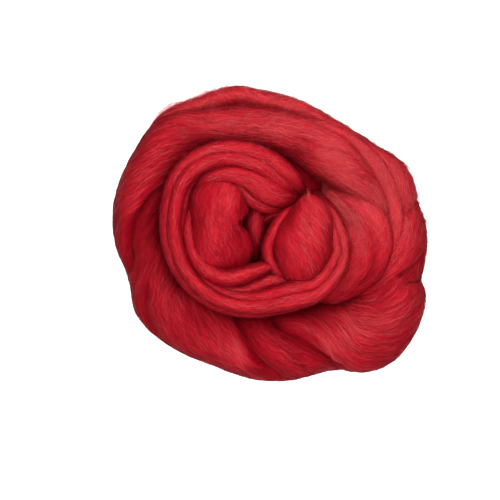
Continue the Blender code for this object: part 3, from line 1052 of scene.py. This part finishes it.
def wisp_bundle(wisp, rng):
    """The hairs of a wisp. Each gets its streaks from a random place of a long strand, and a
    lit and brushed share of 1, so it takes the palest colour, painted light in full. The radius
    is thick (1 - (2t-1)^4), as on other hairs."""
    lines = wisp_lines(wisp, rng)
    each = (wisp.hairs, 1)
    t = np.linspace(0, 1, WISP_STEPS)[None]
    radius = rng.uniform(*WISP_RADII, each) * (1 - (2 * t - 1) ** 4)
    along = PLACE_SPAN * t + rng.uniform(0, PLACE_RANGE, each)
    around = np.broadcast_to(rng.uniform(0, PLACE_TURN, each), along.shape)
    facing = np.broadcast_to(UP, lines.shape)
    return Bundle(lines, radius, facing, along, around, np.ones_like(along))


# %% [markdown]
# ## The wool's colour
#
# Each fibre took the dye a little differently, and combing lays like beside unlike, so the
# red runs in fine streaks along the strand. Fibre is crimped too, so no streak is quite
# straight. One node group makes them from the place along and round the strand.

# %% Node helpers
def set_inputs(node, values):
    """Sets some of a node's inputs, by name."""
    for key, value in values.items():
        node.inputs[key].default_value = value


def vector_math(group, operation, source, other):
    """A vector math node on a vector and another one, which may be fixed numbers."""
    node = group.nodes.new("ShaderNodeVectorMath")
    node.operation = operation
    group.links.new(source, node.inputs[0])
    if isinstance(other, tuple):
        node.inputs[1].default_value = other
    else:
        group.links.new(other, node.inputs[1])
    return node.outputs[0]


def noise_of(group, source, per_metre, detail):
    """A noise texture's outputs at a place, with so many cells in a metre."""
    node = group.nodes.new("ShaderNodeTexNoise")
    set_inputs(node, {"Scale": per_metre, "Detail": detail, "Roughness": 0.6})
    group.links.new(source, node.inputs["Vector"])
    return node.outputs


# %% Node group: streaks along the wool
CRIMP_PER_METRE = 230.0
CRIMP_REACH = 0.0022
Streak = namedtuple("Streak", "name crimped squeeze per_metre detail")
STREAKS = named(Streak, [
    ("Fine", True, 0.05, 1400, 3),
    ("Lock", True, 0.09, 700, 2),
    ("Cloud", False, 0.4, 60, 2),
    ("Matting", True, 0.35, 900, 2),
])


def streak_group():
    """Noises of the wool_place attribute, each from 0 to 1.

    The crimp moves the place sideways by crimp reach * (noise colour - 0.5). Each noise is
    then drawn out along the strand, Fine and Lock the most, so that they come out as streaks.
    """
    group = bpy.data.node_groups.new("wool_streaks", "ShaderNodeTree")
    for streak in STREAKS:
        group.interface.new_socket(streak.name, in_out="OUTPUT", socket_type="NodeSocketFloat")
    attribute = group.nodes.new("ShaderNodeAttribute")
    attribute.attribute_name = "wool_place"
    place = attribute.outputs["Vector"]
    coarse = vector_math(group, "MULTIPLY", place, (1.0, 0.5, 0.5))
    crimp = noise_of(group, coarse, CRIMP_PER_METRE, 1.0)["Color"]
    centred = vector_math(group, "SUBTRACT", crimp, (0.5, 0.5, 0.5))
    sideways = vector_math(group, "MULTIPLY", centred, (0.0, CRIMP_REACH, CRIMP_REACH))
    crimped = vector_math(group, "ADD", place, sideways)
    leave = group.nodes.new("NodeGroupOutput")
    for streak in STREAKS:
        source = crimped if streak.crimped else place
        squeezed = vector_math(group, "MULTIPLY", source, (streak.squeeze, 1.0, 1.0))
        noise = noise_of(group, squeezed, streak.per_metre, streak.detail)
        group.links.new(noise["Fac"], leave.inputs[streak.name])
    return group


wool_streaks = streak_group()

# %% [markdown]
# ## The wool's finish
#
# Wool is matt, with a soft sheen. A picture of it could be wrapped round the strand, but a
# recipe of nodes follows every fibre and stays sharp. Skin and hairs share one recipe: the
# streaks and the lit and brushed share are mixed into one value, and a ramp turns it into a
# red. Through that share the ramp's light end paints light on what faces up, and its dark end
# paints shade in hollows. A hair has a random tone of its own in the mix, and the skin has a
# little bump instead.

# %% Finishes
# Dark, middle and light are sRGB colours from 0 to 255, where the mix is low, even or high.
# The mix holds the lit and brushed share, so the light colour is partly painted light and the
# dark one partly painted shade.
Finish = namedtuple("Finish", "dark middle light specular sheen bump")
SKIN = Finish((108, 0, 12), (143, 9, 24), (170, 44, 50), 0.05, 0.03, 0.8)
LAID_HAIR = Finish((110, 1, 13), (149, 13, 28), (181, 67, 70), 0.06, 0.04, 0)
# Loose and pale hairs are paler than laid ones: a painted sheen for the light that thin loose
# fibres scatter.
LOOSE_HAIR = Finish((122, 10, 21), (152, 31, 38), (180, 66, 68), 0.07, 0.05, 0)
PALE_HAIR = Finish((130, 16, 26), (160, 40, 48), (188, 76, 80), 0.07, 0.06, 0)
RAMP_PLACES = (0.33, 0.5, 0.68)
SKIN_SHARES = {"Fine": 0.40, "Matting": 0.14, "Cloud": 0.14, "brushed": 0.32}
HAIR_SHARES = {"Fine": 0.24, "Lock": 0.12, "hair_shade": 0.32, "brushed": 0.32}
BUMP_SHARES = {"Fine": 0.5, "Matting": 0.5}
SHEEN_TINT = (255, 110, 110)

# %% Wool materials
def linear(colour):
    """The linear colour of an sRGB one given from 0 to 255, with alpha 1."""
    return tuple(((c / 255 + 0.055) / 1.055) ** 2.4 if c > 10 else c / 255 / 12.92
                 for c in colour) + (1.0,)


def weighted_sum(tree, found, shares):
    """Nodes that add up the named values, each times its share."""
    total = None
    for name, share in shares.items():
        node = tree.nodes.new("ShaderNodeMath")
        node.operation = "MULTIPLY_ADD"
        node.inputs[1].default_value = share
        node.inputs[2].default_value = 0.0
        tree.links.new(found[name], node.inputs[0])
        if total is not None:
            tree.links.new(total, node.inputs[2])
        total = node.outputs[0]
    return total


def wool_material(name, finish):
    """Red wool: a colour ramp over the streaks, and a Principled shader with a soft sheen."""
    material = bpy.data.materials.new(name)
    material.use_nodes = True
    tree = material.node_tree
    nodes, links = tree.nodes, tree.links
    shader = nodes["Principled BSDF"]
    set_inputs(shader, {
        "Roughness": 0.62, "IOR": 1.45, "Specular IOR Level": finish.specular,
        "Sheen Weight": finish.sheen, "Sheen Roughness": 0.45,
        "Sheen Tint": linear(SHEEN_TINT),
    })
    streak = nodes.new("ShaderNodeGroup")
    streak.node_tree = wool_streaks
    found = dict(streak.outputs.items())
    for attribute in ("brushed", "hair_shade"):
        node = nodes.new("ShaderNodeAttribute")
        node.attribute_name = attribute
        found[attribute] = node.outputs["Fac"]
    mixed = weighted_sum(tree, found, SKIN_SHARES if finish.bump else HAIR_SHARES)
    ramp = nodes.new("ShaderNodeValToRGB")
    stops = ramp.color_ramp.elements
    stops.new(RAMP_PLACES[1])
    colours = (finish.dark, finish.middle, finish.light)
    for stop, place, colour in zip(stops, RAMP_PLACES, colours):
        stop.position = place
        stop.color = linear(colour)
    links.new(mixed, ramp.inputs["Fac"])
    links.new(ramp.outputs["Color"], shader.inputs["Base Color"])
    if finish.bump:
        bump = nodes.new("ShaderNodeBump")
        set_inputs(bump, {"Strength": finish.bump, "Distance": 0.0005})
        links.new(weighted_sum(tree, found, BUMP_SHARES), bump.inputs["Height"])
        links.new(bump.outputs["Normal"], shader.inputs["Normal"])
    return material


skin_wool = wool_material("combed_wool", SKIN)
laid_wool = wool_material("laid_hairs", LAID_HAIR)
loose_wool = wool_material("loose_hairs", LOOSE_HAIR)
pale_wool = wool_material("pale_hairs", PALE_HAIR)

# %% [markdown]
# ## Put the nest together
#
# Every stretch becomes a skin, on a grid as fine as its visible detail needs. Hidden ones
# get a coarse one.

# %% Skins
skin("outer_coil", [outer], 2.0, 1.0)
skin("inner_coil", inner_plies, 2.5, 1.0)
skin("crescent", crescent_plies, 2.0, 1.0)
skin("hidden_coil", [hidden_coil], 4.0, 3.0)
skin("packed_middle", [packed_middle], 4.0, 4.0)
for path in folds:
    skin(path.name, [path], 1.5, 1.0)

# %% [markdown]
# ## Lay the hairs
#
# Laid hairs cover every stretch, and those of the outer coil are split in two pieces, to keep
# each one light. Folds are handled most, so their hairs are rumpled. Loose hairs stand
# on what is brushed, a fringe softens the nest's edge, and the wisps come last.

# %% Hairs
HAIR_SEED = 7
rng = np.random.default_rng(HAIR_SEED)
outer_hairs = hairs_on(outer, LAID, rng)
middle_of_hair = outer_hairs.along[:, HAIR_STEPS // 2]
half_way = np.median(middle_of_hair)
for n, chosen in enumerate((middle_of_hair < half_way, middle_of_hair >= half_way)):
    half = Bundle(*[part[chosen] for part in outer_hairs])
    hair_piece(f"outer_hairs_{n + 1}", [half], laid_wool, rng)
hair_piece("inner_hairs", [hairs_on(path, LAID, rng, 0.8) for path in thin_strands],
           laid_wool, rng)
hair_piece("fold_hairs", [hairs_on(path, RUMPLED, rng) for path in (*folds, hidden_coil)],
           laid_wool, rng)
hair_piece("loose_hairs", [hairs_on(path, LOOSE, rng)
                           for path in (outer, *thin_strands, *folds)], loose_wool, rng)
hair_piece("wisps", [wisp_bundle(wisp, rng) for wisp in WISPS], loose_wool, rng)
hair_piece("edge_hairs", [hairs_on(path, FRINGE, rng) for path in (outer, top_band)],
           loose_wool, rng)
hair_piece("edge_wisps", [wisp_bundle(wisp, rng) for wisp in EDGE_WISPS], pale_wool, rng)

# %% [markdown]
# ## Floor, light and camera
#
# The nest lies on a plain pale floor. A large soft light hangs overhead, and a lower one at
# the far side rakes over the folds so they read as round. Weak ones stand where the other
# walls of a white room would throw light back, and a pale sky fills the shadows. The camera
# looks straight down from well above.

# %% Floor
# A wide plain square just under the nest, faintly lit by itself so that it stays white.
FLOOR_HALF = 2.0
mesh = bpy.data.meshes.new("floor")
corners = [(x * FLOOR_HALF, y * FLOOR_HALF, 0) for x, y in ((-1, -1), (1, -1), (1, 1), (-1, 1))]
mesh.from_pydata(corners, [], [(0, 1, 2, 3)])
pale = bpy.data.materials.new("pale_floor")
pale.use_nodes = True
set_inputs(pale.node_tree.nodes["Principled BSDF"], {
    "Base Color": (0.9, 0.9, 0.9, 1), "Roughness": 0.9,
    "Emission Color": (1, 1, 1, 1), "Emission Strength": 0.6,
})
mesh.materials.append(pale)
add_object("floor", mesh)

# %% Lights
# Places and sizes are in metres, powers in watts. All are squares turned to the nest.
Light = namedtuple("Light", "name x y z size power")
LIGHTS = named(Light, [
    ("roof_window", 0, 0.1, 0.7, 0.5, 5),
    ("far_window", 0.1, 0.48, 0.28, 0.35, 3.2),
    ("left_wall", -0.45, 0, 0.4, 0.45, 0.6),
    ("right_wall", 0.45, 0, 0.4, 0.45, 0.6),
    ("near_wall", 0, -0.45, 0.35, 0.45, 2.1),
])
AIM = Vector((0, 0, 0.02))

for name, x, y, z, size, power in LIGHTS:
    light = bpy.data.lights.new(name, "AREA")
    light.size = size
    light.energy = power
    holder = add_object(name, light)
    holder.location = (x, y, z)
    holder.rotation_euler = (AIM - holder.location).to_track_quat("-Z", "Y").to_euler()

world = bpy.data.worlds.new("pale_sky")
world.use_nodes = True
set_inputs(world.node_tree.nodes["Background"], {"Color": (1, 1, 1, 1), "Strength": 0.5})
bpy.context.scene.world = world
bpy.context.scene.view_settings.view_transform = "Standard"
print(f"lights: {sum(light.power for light in LIGHTS):.1f} W in all")

# %% Camera
# At the sharp height a pixel of the square picture covers so many mm. The nest's middle
# stands a little off the picture's. Lengths are in mm.
FRAME_PIXELS = 500
MM_PER_PIXEL = 0.64
NEST_MIDDLE_PIXEL = (270.6, 234.6)
CAMERA_HEIGHT = 1400.0
SHARP_HEIGHT = 30.0

camera_data = bpy.data.cameras.new("overhead")
camera_data.lens = (camera_data.sensor_width * (CAMERA_HEIGHT - SHARP_HEIGHT)
                    / (FRAME_PIXELS * MM_PER_PIXEL))
camera = add_object("overhead", camera_data)
x, y = (FRAME_PIXELS / 2 - np.array(NEST_MIDDLE_PIXEL)) * MM_PER_PIXEL * MM
camera.location = (x, -y, CAMERA_HEIGHT * MM)
bpy.context.scene.camera = camera
print(f"camera: {camera_data.lens:.0f} mm lens, {CAMERA_HEIGHT * MM:.1f} m up")
